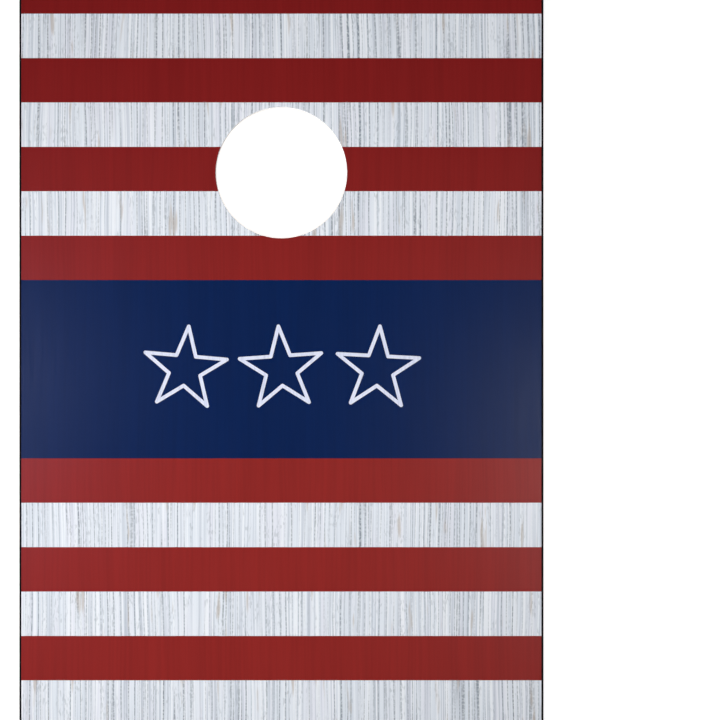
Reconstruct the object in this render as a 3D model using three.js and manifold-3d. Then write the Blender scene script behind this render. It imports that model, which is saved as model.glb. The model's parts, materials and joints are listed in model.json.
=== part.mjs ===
// A folding lawn-game target board: a printed deck with one round bag hole on a shallow wooden frame,
// raised at the rear by a pair of folding legs. Millimetres, +Z up.
// The board slopes up towards +Y and X runs across it. The origin is on the ground, at the middle of
// the footprint of the whole board as it stands ready for play.
import * as THREE from "three";
import { mergeVertices } from "three/addons/utils/BufferGeometryUtils.js";
import Module from "manifold-3d";

const wasm = await Module();
wasm.setup();

// Driving dimensions.
const DECK_WIDTH = 609.6;
const DECK_LENGTH = 914.4;
const DECK_THICKNESS = 9.5;
const DECK_CORNER = 4;
const PRINT_THICKNESS = 0.6;
const PRINT_INSET = 2.3;
const HOLE_DIAMETER = 152.4;
const HOLE_FROM_REAR = 228.6; // from the raised end of the deck to the centre of the hole
const TILT = THREE.MathUtils.degToRad(12);
const GAP = 0.3; // between pieces that rest on each other
const RAIL_THICKNESS = 18;
const RAIL_DEPTH = 63.5;
const BRACE_DEPTH = 44;
const BRACE_FROM_FRONT = 457.2;
const BLOCK_LEG = 36; // each short side of a corner block's triangle
const BLOCK_HEIGHT = 44;
const LEG_WIDTH = 55;
const LEG_THICKNESS = 18;
const SPREADER_FROM_PIVOT = 60; // from the pivot down to the spreader's top edge
const SPREADER_DEPTH = 40;
const SPREADER_THICKNESS = 18;

const BOLT_RADIUS = 4;
const BOLT_LENGTH = 52; // below the head
const BOLT_CHAMFER = 0.8;
const BOLT_HEAD_RADIUS = 9.5;
const BOLT_HEAD_RIM = 0.9;
const BOLT_HEAD_HEIGHT = 4.4;
const BOLT_HEAD_SUNK = 5; // depth of the counterbore that hides the head
const BOLT_NECK = 8; // side of the square neck
const BOLT_NECK_LENGTH = 4.2;
const SPACER_RADIUS = 12;
const SPACER_THICKNESS = 2;
const WASHER_RADIUS = 9;
const WASHER_THICKNESS = 1.6;
const NUT_HEIGHT = 8;
const NUT_BASE_RADIUS = 8;
const NUT_TOP_RADIUS = 6.2;
const WING_SPAN = 34;
const WING_HEIGHT = 15;
const WING_THICKNESS = 2.4;
const WING_TURN = THREE.MathUtils.degToRad(35); // how far round each nut happens to stand

const SCREW_LENGTH = 38;
const SCREW_RADIUS = 2.1;
const SCREW_HEAD_RADIUS = 4.1;
const SCREW_HEAD_RIM = 0.4;
const SCREW_HEAD_DEPTH = 3.2;
const SCREW_POINT = 6;
const SCREW_SUNK = 0.3;
const DRIVE_ARM = 4.6; // length of each slot of the cross recess
const DRIVE_WIDTH = 1;
const DRIVE_DEPTH = 1.8;
const RAIL_SCREW_RISE = 15; // each screw of a pair from the middle of what it holds
const BRACE_SCREW_RISE = 11;
const SPREADER_SCREW_RISE = 10;

const ROUND = 24; // facets round a bolt or a washer
const SMALL_ROUND = 16; // facets round a screw
const HOLE_FACETS = 96;

// Places that follow from them, in the board's own frame: X across, Y up the slope from the front end,
// Z square to the deck with 0 on the playing surface.
const HALF_WIDTH = DECK_WIDTH / 2;
const DECK_TOP = -PRINT_THICKNESS - GAP;
const DECK_UNDERSIDE = DECK_TOP - DECK_THICKNESS;
const RAIL_TOP = DECK_UNDERSIDE - GAP;
const RAIL_BOTTOM = RAIL_TOP - RAIL_DEPTH;
const RAIL_INNER = HALF_WIDTH - RAIL_THICKNESS;
const HOLE_Y = DECK_LENGTH - HOLE_FROM_REAR;
const REAR_RAIL_INNER = DECK_LENGTH - RAIL_THICKNESS;
const PIVOT_Y = REAR_RAIL_INNER - GAP - LEG_WIDTH / 2;
const PIVOT_Z = (RAIL_TOP + RAIL_BOTTOM) / 2;
const LEG_OUTER = RAIL_INNER - SPACER_THICKNESS - 2 * GAP;
const LEG_INNER = LEG_OUTER - LEG_THICKNESS;
const NUT_SEAT = LEG_INNER - WASHER_THICKNESS - 2 * GAP;
const BOLT_SEAT = HALF_WIDTH - BOLT_HEAD_SUNK;
const BRACE_Z = RAIL_TOP - BRACE_DEPTH / 2;
const SPREADER_Z = PIVOT_Z - SPREADER_FROM_PIVOT - SPREADER_DEPTH / 2;
const groundZ = (y) => RAIL_BOTTOM - y * Math.tan(TILT);

const SIDES = [
  { name: "left", sign: -1 },
  { name: "right", sign: 1 },
];

const materials = {
  print: new THREE.MeshStandardMaterial({ color: 0xe2e6ee, roughness: 0.42 }),
  fibreboard: new THREE.MeshStandardMaterial({ color: 0x9a7650, roughness: 0.85 }),
  blackPaint: new THREE.MeshStandardMaterial({ color: 0x141416, roughness: 0.5 }),
  rawPine: new THREE.MeshStandardMaterial({ color: 0xc9a26b, roughness: 0.8 }),
  zinc: new THREE.MeshStandardMaterial({ color: 0xb9bcc0, roughness: 0.35, metalness: 1 }),
  blackScrew: new THREE.MeshStandardMaterial({ color: 0x1c1c1e, roughness: 0.45, metalness: 1 }),
  nylon: new THREE.MeshStandardMaterial({ color: 0x2a2a2c, roughness: 0.6 }),
};

// Geometry helpers.
function toSolid(geometry) {
  const bare = geometry.clone();
  bare.deleteAttribute("normal");
  bare.deleteAttribute("uv");
  const merged = mergeVertices(bare, 1e-4);
  return new wasm.Manifold(
    new wasm.Mesh({
      numProp: 3,
      vertProperties: merged.attributes.position.array,
      triVerts: new Uint32Array(merged.index.array),
    }),
  );
}

function fromSolid(solid) {
  const { vertProperties, triVerts } = solid.getMesh();
  const geometry = new THREE.BufferGeometry();
  geometry.setAttribute("position", new THREE.BufferAttribute(vertProperties, 3));
  geometry.setIndex(new THREE.BufferAttribute(triVerts, 1));
  geometry.computeVertexNormals();
  return geometry;
}

function cut(geometry, tools) {
  return fromSolid(tools.reduce((solid, tool) => solid.subtract(toSolid(tool)), toSolid(geometry)));
}

function join(geometry, others) {
  return fromSolid(others.reduce((solid, other) => solid.add(toSolid(other)), toSolid(geometry)));
}

function box([x0, x1], [y0, y1], [z0, z1]) {
  return new THREE.BoxGeometry(x1 - x0, y1 - y0, z1 - z0).translate(
    (x0 + x1) / 2,
    (y0 + y1) / 2,
    (z0 + z1) / 2,
  );
}

// A solid of revolution about Y from [radius, height] points listed from the lowest to the highest.
function turned(points, facets) {
  return new THREE.LatheGeometry(
    points.map(([radius, height]) => new THREE.Vector2(radius, height)),
    facets,
  );
}

function rod(radius, bottom, top) {
  return turned([[0, bottom], [radius, bottom], [radius, top], [0, top]], ROUND);
}

// A flat ring about Y, from height 0 up.
function ring(outer, inner, height) {
  return turned([[inner, 0], [outer, 0], [outer, height], [inner, height], [inner, 0]], ROUND);
}

// Turns a piece made about +Y so that its top points outwards through the side given by sign.
function facingOut(geometry, sign) {
  return geometry.rotateZ((-sign * Math.PI) / 2);
}

// A round hole in a flat outline.
function roundHole(x, y, radius, facets) {
  const corners = Array.from({ length: facets }, (_, i) => {
    const angle = (2 * Math.PI * i) / facets;
    return new THREE.Vector2(x + radius * Math.cos(angle), y + radius * Math.sin(angle));
  });
  return new THREE.Path(corners);
}

function mesh(name, geometry, material) {
  const made = new THREE.Mesh(geometry, material);
  made.name = name;
  return made;
}

// A sheet as wide and long as the deck less an inset all round, with the bag hole through it.
function deckSheet(inset, top, thickness) {
  const corner = DECK_CORNER - inset / 2;
  const [x0, x1, y0, y1] = [-HALF_WIDTH + inset, HALF_WIDTH - inset, inset, DECK_LENGTH - inset];
  const outline = new THREE.Shape()
    .moveTo(x0 + corner, y0)
    .lineTo(x1 - corner, y0)
    .absarc(x1 - corner, y0 + corner, corner, -Math.PI / 2, 0)
    .lineTo(x1, y1 - corner)
    .absarc(x1 - corner, y1 - corner, corner, 0, Math.PI / 2)
    .lineTo(x0 + corner, y1)
    .absarc(x0 + corner, y1 - corner, corner, Math.PI / 2, Math.PI)
    .lineTo(x0, y0 + corner)
    .absarc(x0 + corner, y0 + corner, corner, Math.PI, 1.5 * Math.PI);
  outline.holes.push(roundHole(0, HOLE_Y, HOLE_DIAMETER / 2, HOLE_FACETS));
  const sheet = new THREE.ExtrudeGeometry(outline, {
    depth: thickness,
    bevelEnabled: false,
    curveSegments: 4,
  });
  return sheet.translate(0, 0, top - thickness);
}

// A countersunk wood screw, its head's face at height 0 and its point straight down.
// Grown by the gap, the same shape is the hole that it sits in.
function screwBody(grow = 0) {
  const head = SCREW_HEAD_RADIUS + grow;
  const shank = SCREW_RADIUS + grow;
  const face = grow > 0 ? SCREW_SUNK + 1 : 0;
  return turned(
    [
      [0, -SCREW_LENGTH - grow],
      [shank, -SCREW_LENGTH + SCREW_POINT],
      [shank, -SCREW_HEAD_DEPTH - grow],
      [head, -SCREW_HEAD_RIM - grow],
      [head, face],
      [0, face],
    ],
    SMALL_ROUND,
  );
}

function screw() {
  const slot = [-DRIVE_ARM / 2, DRIVE_ARM / 2];
  const thin = [-DRIVE_WIDTH / 2, DRIVE_WIDTH / 2];
  const depth = [-DRIVE_DEPTH, 1];
  return cut(screwBody(), [box(slot, depth, thin), box(thin, depth, slot)]);
}

// A carriage bolt about Y: the underside of its domed head at height 0 and its shank below.
function carriageBolt() {
  const dome = Array.from({ length: 7 }, (_, i) => {
    const angle = (i * Math.PI) / 12;
    const rise = BOLT_HEAD_HEIGHT - BOLT_HEAD_RIM;
    return [BOLT_HEAD_RADIUS * Math.cos(angle), BOLT_HEAD_RIM + rise * Math.sin(angle)];
  });
  dome[6][0] = 0;
  const body = turned(
    [
      [0, -BOLT_LENGTH],
      [BOLT_RADIUS - BOLT_CHAMFER, -BOLT_LENGTH],
      [BOLT_RADIUS, -BOLT_LENGTH + BOLT_CHAMFER],
      [BOLT_RADIUS, 0],
      [BOLT_HEAD_RADIUS, 0],
      ...dome,
    ],
    ROUND,
  );
  const half = BOLT_NECK / 2;
  return join(body, [box([-half, half], [-BOLT_NECK_LENGTH, 1], [-half, half])]);
}

// The counterbore, square socket and clearance hole for a carriage bolt whose head's underside is at 0.
function boltSockets(depth) {
  const half = BOLT_NECK / 2 + GAP;
  return [
    rod(BOLT_HEAD_RADIUS + 1, -GAP, 2 * BOLT_HEAD_SUNK),
    box([-half, half], [-BOLT_NECK_LENGTH - GAP, 1], [-half, half]),
    rod(BOLT_RADIUS + GAP, -depth, 1),
  ];
}

// A wing nut about Y, its bearing face at height 0 and its two wings standing up and out.
function wingNut(turn) {
  const bore = BOLT_RADIUS + GAP;
  const hub = turned(
    [
      [bore, 0],
      [NUT_BASE_RADIUS, 0],
      [NUT_BASE_RADIUS, 1.5],
      [NUT_TOP_RADIUS, NUT_HEIGHT - 0.8],
      [NUT_TOP_RADIUS - 0.8, NUT_HEIGHT],
      [bore, NUT_HEIGHT],
      [bore, 0],
    ],
    ROUND,
  );
  const tip = WING_SPAN / 2;
  const root = bore + 0.7;
  const outline = new THREE.Shape()
    .moveTo(root, 1.2)
    .quadraticCurveTo(tip * 0.62, 1.6, tip * 0.86, 6.4)
    .bezierCurveTo(tip * 1.12, 10.5, tip * 0.98, WING_HEIGHT, tip * 0.8, WING_HEIGHT)
    .bezierCurveTo(tip * 0.6, WING_HEIGHT, tip * 0.56, 9.5, root, NUT_HEIGHT - 1);
  const wing = new THREE.ExtrudeGeometry(outline, {
    depth: WING_THICKNESS,
    bevelEnabled: false,
    curveSegments: 8,
  }).translate(0, 0, -WING_THICKNESS / 2);
  return join(hub, [wing, wing.clone().rotateY(Math.PI)]).rotateY(turn);
}

// Places a screw hole, or the screw itself, on the outer face of a rail or leg.
function screwPlaced(shape, sign, faceX, y, z) {
  return facingOut(shape, sign).translate(sign * (faceX - SCREW_SUNK), y, z);
}

// Where the screws go, as [name, y, z]: first on the outer face of each side rail, then of each leg.
const railScrews = [
  ["front_rail_screw_upper", RAIL_THICKNESS / 2, PIVOT_Z + RAIL_SCREW_RISE],
  ["front_rail_screw_lower", RAIL_THICKNESS / 2, PIVOT_Z - RAIL_SCREW_RISE],
  ["brace_screw_upper", BRACE_FROM_FRONT, BRACE_Z + BRACE_SCREW_RISE],
  ["brace_screw_lower", BRACE_FROM_FRONT, BRACE_Z - BRACE_SCREW_RISE],
  ["rear_rail_screw_upper", DECK_LENGTH - RAIL_THICKNESS / 2, PIVOT_Z + RAIL_SCREW_RISE],
  ["rear_rail_screw_lower", DECK_LENGTH - RAIL_THICKNESS / 2, PIVOT_Z - RAIL_SCREW_RISE],
];
const legScrews = [
  ["spreader_screw_upper", PIVOT_Y, SPREADER_Z + SPREADER_SCREW_RISE],
  ["spreader_screw_lower", PIVOT_Y, SPREADER_Z - SPREADER_SCREW_RISE],
];

function screwHoles(places, sign, faceX) {
  return places.map(([, y, z]) => screwPlaced(screwBody(GAP), sign, faceX, y, z));
}

function screwHolesBothSides(places, faceX) {
  return SIDES.flatMap(({ sign }) => screwHoles(places, sign, faceX));
}

// The frame: four rails, a brace across the middle and two glued blocks in the front corners.
function sideRail(sign) {
  const plain = box([RAIL_INNER, HALF_WIDTH], [0, DECK_LENGTH], [RAIL_BOTTOM, RAIL_TOP]);
  if (sign < 0) plain.translate(-HALF_WIDTH - RAIL_INNER, 0, 0);
  const sockets = boltSockets(2 * RAIL_THICKNESS).map((tool) =>
    facingOut(tool, sign).translate(sign * BOLT_SEAT, PIVOT_Y, PIVOT_Z),
  );
  return cut(plain, [...sockets, ...screwHoles(railScrews, sign, HALF_WIDTH)]);
}

function crossRail([y0, y1], [z0, z1]) {
  const reach = RAIL_INNER - GAP;
  const plain = box([-reach, reach], [y0, y1], [z0, z1]);
  return cut(plain, screwHolesBothSides(railScrews, HALF_WIDTH));
}

function cornerBlock(sign) {
  const side = RAIL_INNER - GAP;
  const front = RAIL_THICKNESS + GAP;
  const corners = [
    new THREE.Vector2(sign * side, front),
    new THREE.Vector2(sign * side, front + BLOCK_LEG),
    new THREE.Vector2(sign * (side - BLOCK_LEG), front),
  ];
  return new THREE.ExtrudeGeometry(new THREE.Shape(corners), {
    depth: BLOCK_HEIGHT,
    bevelEnabled: false,
  }).translate(0, 0, RAIL_TOP - BLOCK_HEIGHT);
}

// The folding legs: round-topped boards whose feet are cut to lie flat on the ground.
function leg(sign) {
  const half = LEG_WIDTH / 2;
  const [front, rear] = [PIVOT_Y - half, PIVOT_Y + half];
  const outline = new THREE.Shape()
    .moveTo(front, groundZ(front))
    .lineTo(rear, groundZ(rear))
    .lineTo(rear, PIVOT_Z)
    .absarc(PIVOT_Y, PIVOT_Z, half, 0, Math.PI)
    .lineTo(front, groundZ(front));
  outline.holes.push(roundHole(PIVOT_Y, PIVOT_Z, BOLT_RADIUS + GAP, ROUND));
  const upright = new THREE.Matrix4().makeBasis(
    new THREE.Vector3(0, 1, 0),
    new THREE.Vector3(0, 0, 1),
    new THREE.Vector3(1, 0, 0),
  );
  const board = new THREE.ExtrudeGeometry(outline, {
    depth: LEG_THICKNESS,
    bevelEnabled: false,
    curveSegments: 20,
  })
    .applyMatrix4(upright)
    .translate(sign > 0 ? LEG_INNER : -LEG_OUTER, 0, 0);
  return cut(board, screwHoles(legScrews, sign, LEG_OUTER));
}

function legSpreader() {
  const reach = LEG_INNER - GAP;
  const half = SPREADER_THICKNESS / 2;
  const bar = box(
    [-reach, reach],
    [PIVOT_Y - half, PIVOT_Y + half],
    [SPREADER_Z - SPREADER_DEPTH / 2, SPREADER_Z + SPREADER_DEPTH / 2],
  );
  return cut(bar, screwHolesBothSides(legScrews, LEG_OUTER));
}

const deck = new THREE.Group();
deck.add(
  mesh("printed_face", deckSheet(PRINT_INSET, 0, PRINT_THICKNESS), materials.print),
  mesh("deck_panel", deckSheet(0, DECK_TOP, DECK_THICKNESS), materials.fibreboard),
);

const frame = new THREE.Group();
const railHeights = [RAIL_BOTTOM, RAIL_TOP];
const braceDepths = [BRACE_FROM_FRONT - RAIL_THICKNESS / 2, BRACE_FROM_FRONT + RAIL_THICKNESS / 2];
frame.add(
  mesh("front_rail", crossRail([0, RAIL_THICKNESS], railHeights), materials.blackPaint),
  mesh("rear_rail", crossRail([REAR_RAIL_INNER, DECK_LENGTH], railHeights), materials.blackPaint),
  mesh("cross_brace", crossRail(braceDepths, [RAIL_TOP - BRACE_DEPTH, RAIL_TOP]), materials.rawPine),
);
for (const { name, sign } of SIDES) {
  frame.add(
    mesh(`${name}_side_rail`, sideRail(sign), materials.blackPaint),
    mesh(`front_${name}_corner_block`, cornerBlock(sign), materials.rawPine),
  );
  for (const [place, y, z] of railScrews) {
    const placed = screwPlaced(screw(), sign, HALF_WIDTH, y, z);
    frame.add(mesh(`${name}_${place}`, placed, materials.blackScrew));
  }
}

const pivots = new THREE.Group();
const legs = new THREE.Group();
legs.add(mesh("leg_spreader", legSpreader(), materials.blackPaint));
for (const { name, sign } of SIDES) {
  const onPivot = (geometry, x, outwards = sign) =>
    facingOut(geometry, outwards).translate(sign * x, PIVOT_Y, PIVOT_Z);
  const bore = BOLT_RADIUS + GAP;
  const spacer = ring(SPACER_RADIUS, bore, SPACER_THICKNESS);
  const washer = ring(WASHER_RADIUS, bore, WASHER_THICKNESS);
  pivots.add(
    mesh(`${name}_pivot_bolt`, onPivot(carriageBolt(), BOLT_SEAT), materials.zinc),
    mesh(`${name}_leg_spacer`, onPivot(spacer, LEG_OUTER + GAP), materials.nylon),
    mesh(`${name}_pivot_washer`, onPivot(washer, NUT_SEAT + GAP), materials.zinc),
    mesh(`${name}_wing_nut`, onPivot(wingNut(sign * WING_TURN), NUT_SEAT, -sign), materials.zinc),
  );
  legs.add(mesh(`${name}_leg`, leg(sign), materials.blackPaint));
  for (const [place, y, z] of legScrews) {
    const placed = screwPlaced(screw(), sign, LEG_OUTER, y, z);
    legs.add(mesh(`${name}_${place}`, placed, materials.blackScrew));
  }
}

// The whole board, tilted and set down with the middle of its footprint on the origin.
const board = new THREE.Group();
board.add(deck, frame, pivots, legs);
board.rotation.x = TILT;
const bounds = new THREE.Box3().setFromObject(board, true);
board.position.set(0, -(bounds.min.y + bounds.max.y) / 2, -bounds.min.z);

const cornholeBoard = new THREE.Group();
cornholeBoard.add(board);

export default cornholeBoard;
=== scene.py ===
"""A cornhole board: printed deck with a bag hole, black frame and folding rear legs, in metres.

Every piece is built in the board's own frame (X across, Y up the slope from the front end, Z square
to the deck with 0 on the playing surface) and then placed by BOARD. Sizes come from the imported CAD.
"""

import json
import math

import bmesh
import bpy
from mathutils import Matrix, Vector
from mathutils.geometry import delaunay_2d_cdt


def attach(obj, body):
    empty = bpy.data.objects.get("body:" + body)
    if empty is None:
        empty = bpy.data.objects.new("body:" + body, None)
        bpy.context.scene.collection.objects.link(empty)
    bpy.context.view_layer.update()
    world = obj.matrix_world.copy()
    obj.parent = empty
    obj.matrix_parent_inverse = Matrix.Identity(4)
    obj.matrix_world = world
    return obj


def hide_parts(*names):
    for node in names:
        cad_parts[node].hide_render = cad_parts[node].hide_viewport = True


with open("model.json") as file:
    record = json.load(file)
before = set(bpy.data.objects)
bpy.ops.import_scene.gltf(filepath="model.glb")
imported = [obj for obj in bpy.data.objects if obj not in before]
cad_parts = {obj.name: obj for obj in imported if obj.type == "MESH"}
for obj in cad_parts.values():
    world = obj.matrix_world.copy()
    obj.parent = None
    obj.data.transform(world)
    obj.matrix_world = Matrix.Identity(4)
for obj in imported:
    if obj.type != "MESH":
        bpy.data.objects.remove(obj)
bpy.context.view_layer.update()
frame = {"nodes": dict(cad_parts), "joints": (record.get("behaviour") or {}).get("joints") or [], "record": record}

MM = 0.001
SIDES = {"left": -1, "right": 1}
WELD = 0.001 * MM  # vertices closer than this become one
TOUCH = 0.01 * MM  # a point this close to the hole's rim lies on it
SHARP_ANGLE = 35  # degrees between two faces, above which their edge stays sharp

# The printed pattern: equal stripes outwards from a navy band four stripes wide.
STRIPE = 51.6 * MM
NAVY_HALF = 103.65 * MM
STAR_RADIUS = 50 * MM
STAR_PITCH = 112 * MM
STAR_STROKE = 4.2 * MM
STAR_TURNS = (-5, 4, -3)  # degrees, so that the row looks drawn by hand

HOLE_FACETS = 144
EASE = 1.3 * MM  # rounding along the edges of rails and legs
DECK_EASE = 0.5 * MM
DECK_CORNER = 4 * MM
PRINT_EASE = 0.25 * MM
PRINT_CORNER = 3 * MM


# ---------------------------------------------------------------- the board's frame

mounts = {mount["name"]: mount for mount in frame["record"]["mounts"]}
joints = {joint["name"]: joint for joint in frame["joints"]}
face_normal = Vector(mounts["playing_surface"]["axis"]).normalized()
up_slope = -Vector(mounts["front_face"]["axis"]).normalized()
front_point = Vector(mounts["front_face"]["pos_m"])
rise = (Vector(mounts["playing_surface"]["pos_m"]) - front_point).dot(face_normal)
BOARD = (
    Matrix.Translation(front_point + rise * face_normal)
    @ Matrix((Vector((1, 0, 0)), up_slope, face_normal)).transposed().to_4x4()
)
TO_BOARD = BOARD.inverted()


def node_points(node):
    """The vertices of a CAD node, in the board's frame."""
    return [TO_BOARD @ vertex.co for vertex in frame["nodes"][node].data.vertices]


def board_box(node):
    """Lowest and highest corners of a CAD node, in the board's frame."""
    points = node_points(node)
    return Vector(map(min, zip(*points))), Vector(map(max, zip(*points)))


def ground_z(y):
    """Height of the ground in the board's frame, under the point y up the slope."""
    start = BOARD @ Vector((0, y, 0))
    return -start.z / face_normal.z


DECK_LOW, DECK_HIGH = board_box("deck_panel")
PRINT_LOW, PRINT_HIGH = board_box("printed_face")
PIVOT = TO_BOARD @ Vector(joints["leg_fold"]["pos_m"])
DECK_MIDDLE = (DECK_LOW.y + DECK_HIGH.y) / 2


def hole_circle():
    """Radius of the bag hole, and its centre's height up the slope, from the panel's inner vertices."""
    end_margin = 20 * MM
    reach = DECK_HIGH.x / 2
    heights = [point.y for point in node_points("deck_panel") if abs(point.x) < reach]
    heights = [y for y in heights if DECK_LOW.y + end_margin < y < DECK_HIGH.y - end_margin]
    return (max(heights) - min(heights)) / 2, (max(heights) + min(heights)) / 2


HOLE_RADIUS, HOLE_Y = hole_circle()


# ---------------------------------------------------------------- material nodes


class Graph:
    """Short calls for building one material's nodes."""

    def __init__(self, name, roughness=0.5, metallic=0.0, specular=0.5):
        self.material = bpy.data.materials.new(name)
        self.material.use_nodes = True
        self.tree = self.material.node_tree
        self.shader = self.tree.nodes["Principled BSDF"]
        self.shader.inputs["Roughness"].default_value = roughness
        self.shader.inputs["Metallic"].default_value = metallic
        self.shader.inputs["Specular IOR Level"].default_value = specular

    def node(self, kind, **settings):
        made = self.tree.nodes.new(kind)
        for key, value in settings.items():
            setattr(made, key, value)
        return made

    def feed(self, socket, value):
        """Links value to socket if it is an output, or else sets it as the socket's constant."""
        if isinstance(value, bpy.types.NodeSocket):
            self.tree.links.new(value, socket)
        else:
            socket.default_value = value

    def math(self, operation, a, b=0.0, c=0.0):
        made = self.node("ShaderNodeMath", operation=operation)
        for socket, value in zip(made.inputs, (a, b, c)):
            self.feed(socket, value)
        return made.outputs[0]

    def ramp(self, value, low, high, to_low=0.0, to_high=1.0):
        """value eased from to_low at low to to_high at high."""
        made = self.node("ShaderNodeMapRange", interpolation_type="SMOOTHSTEP")
        self.feed(made.inputs["Value"], value)
        self.feed(made.inputs["From Min"], low)
        self.feed(made.inputs["From Max"], high)
        self.feed(made.inputs["To Min"], to_low)
        self.feed(made.inputs["To Max"], to_high)
        return made.outputs["Result"]

    def mix(self, share, a, b):
        """Colour a, with share of colour b."""
        made = self.node("ShaderNodeMix", data_type="RGBA")
        self.feed(made.inputs["Factor"], share)
        for socket, value in ((made.inputs[6], a), (made.inputs[7], b)):
            self.feed(socket, value if isinstance(value, bpy.types.NodeSocket) else (*value, 1))
        return made.outputs[2]

    def paint(self, under, over, share, *more_shares):
        """Colour under with over on it, as thick as the product of the shares."""
        for other in more_shares:
            share = self.math("MULTIPLY", share, other)
        return self.mix(share, under, over)

    def grain_axes(self):
        """Distance along, across and through the grain, in metres."""
        made = self.node("ShaderNodeAttribute", attribute_name="grain")
        split = self.node("ShaderNodeSeparateXYZ")
        self.feed(split.inputs[0], made.outputs["Vector"])
        return split.outputs

    def noise(self, x, y, z, detail=2.0, roughness=0.5):
        point = self.node("ShaderNodeCombineXYZ")
        for socket, value in zip(point.inputs, (x, y, z)):
            self.feed(socket, value)
        made = self.node("ShaderNodeTexNoise")
        self.feed(made.inputs["Vector"], point.outputs[0])
        self.feed(made.inputs["Scale"], 1.0)
        self.feed(made.inputs["Detail"], detail)
        self.feed(made.inputs["Roughness"], roughness)
        return made.outputs["Fac"]

    def streaks(self, along, across, length, width, seed, detail=2.0):
        """Noise drawn out along the grain: about width across each streak, length along it."""
        x = self.math("MULTIPLY", across, 1 / width)
        y = self.math("MULTIPLY", along, 1 / length)
        return self.noise(x, y, seed, detail)

    def patches(self, along, across, along_rate, across_rate, seed, detail, roughness=0.5):
        """Noise with so many patches a metre along the grain and across it."""
        x = self.math("MULTIPLY", along, along_rate)
        y = self.math("MULTIPLY", across, across_rate)
        return self.noise(x, y, seed, detail, roughness)

    def speckle(self, rate, detail, roughness=0.5):
        """Noise with so many specks a metre, the same every way."""
        scaled = [self.math("MULTIPLY", axis, rate) for axis in self.grain_axes()]
        return self.noise(*scaled, detail, roughness)

    def contours(self, value, core, reach):
        """Lines where a noise crosses its middle value: 1 within core of it, fading to 0 at reach."""
        distance = self.math("ABSOLUTE", self.math("SUBTRACT", value, 0.5))
        return self.ramp(distance, core, reach, 1.0, 0.0)

    def bump(self, height, distance, strength=1.0):
        made = self.node("ShaderNodeBump")
        made.inputs["Distance"].default_value = distance
        made.inputs["Strength"].default_value = strength
        self.feed(made.inputs["Height"], height)
        self.feed(self.shader.inputs["Normal"], made.outputs["Normal"])

    def colour(self, value):
        self.feed(self.shader.inputs["Base Color"], value)

    def roughness(self, value):
        self.feed(self.shader.inputs["Roughness"], value)


# ---------------------------------------------------------------- the print's materials

PRINT_ROUGHNESS = 0.21
PRINT_RELIEF = 0.012 * MM
GRAIN_DRIFT = 8 * MM  # how far the grain lines lean from side to side
GRAIN_SWAY = 2 * MM  # and how far they waver on a smaller scale

WASH_DEEP = (0.745, 0.79, 0.85)
WASH_PALE = (0.79, 0.825, 0.88)
WASH_LILAC = (0.785, 0.782, 0.86)
WASH_GREY = (0.40, 0.445, 0.52)
WASH_THICK = (0.885, 0.91, 0.945)
GROWTH_LINE = (0.235, 0.275, 0.32)
RING_LINE = (0.21, 0.245, 0.28)
PORE = (0.36, 0.40, 0.44)
BARE_WOOD = (0.46, 0.39, 0.33)
BLACK = (0.0, 0.0, 0.0)
STAR_WHITE = (0.72, 0.75, 0.88)
STAR_WORN = (0.50, 0.54, 0.70)
# The red runs darker towards the rear end than at the front; the navy stays the same.
RED = ((0.268, 0.0195, 0.0165), (0.208, 0.0105, 0.0105))  # at the front end, and at the rear
NAVY = ((0.0016, 0.0140, 0.0770), (0.0016, 0.0140, 0.0770))


def bent_grain(g):
    """Along and across the printed grain, which wanders gently from side to side."""
    along, across, _ = g.grain_axes()
    drift = g.streaks(along, across, 210 * MM, 80 * MM, seed=3.1, detail=1.0)
    sway = g.streaks(along, across, 60 * MM, 24 * MM, seed=8.7, detail=1.0)
    shift = g.math("MULTIPLY_ADD", g.math("SUBTRACT", drift, 0.5), GRAIN_DRIFT, 0.0)
    shift = g.math("MULTIPLY_ADD", g.math("SUBTRACT", sway, 0.5), GRAIN_SWAY, shift)
    return along, g.math("ADD", across, shift)


def print_gloss(g, along, across):
    """The sheet's satin surface: its gloss and a very shallow relief follow the grain."""
    fine = g.streaks(along, across, 60 * MM, 1.6 * MM, seed=15.3)
    g.roughness(g.ramp(fine, 0.3, 0.7, PRINT_ROUGHNESS - 0.02, PRINT_ROUGHNESS + 0.03))
    g.bump(fine, PRINT_RELIEF)


def brushed_wash(g, along, across):
    """Pale wash with lilac tints, fine grey striations, and ridges where it lies thickest."""
    tone = g.streaks(along, across, 300 * MM, 11 * MM, seed=0.4)
    colour = g.mix(g.ramp(tone, 0.36, 0.64), WASH_DEEP, WASH_PALE)
    tint = g.streaks(along, across, 170 * MM, 15 * MM, seed=5.2)
    colour = g.mix(g.ramp(tint, 0.50, 0.66, 0.0, 0.45), colour, WASH_LILAC)
    brushed = g.streaks(along, across, 280 * MM, 1.7 * MM, seed=1.7, detail=1.0)
    colour = g.mix(g.ramp(brushed, 0.42, 0.76, 0.0, 0.62), colour, WASH_GREY)
    ridges = g.streaks(along, across, 260 * MM, 2.5 * MM, seed=12.1, detail=0.0)
    return g.mix(g.ramp(ridges, 0.50, 0.72, 0.0, 0.75), colour, WASH_THICK)


def growth_lines(g, colour, along, across, dots):
    """colour with thin lines on it, evenly spaced, which show in groups."""
    pitch = 6.6 * MM
    wander = 22.0  # radians by which a slow noise shifts the even spacing
    spacing = g.streaks(along, across, 900 * MM, 40 * MM, seed=6.1, detail=1.0)
    phase = g.math("MULTIPLY_ADD", across, 2 * math.pi / pitch, g.math("MULTIPLY", spacing, wander))
    line = g.ramp(g.math("SINE", phase), 0.68, 1.0)
    weight = g.ramp(g.streaks(along, across, 420 * MM, 16 * MM, seed=13.5), 0.38, 0.60, 0.0, 0.80)
    return g.paint(colour, GROWTH_LINE, line, weight, dots)


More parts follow.
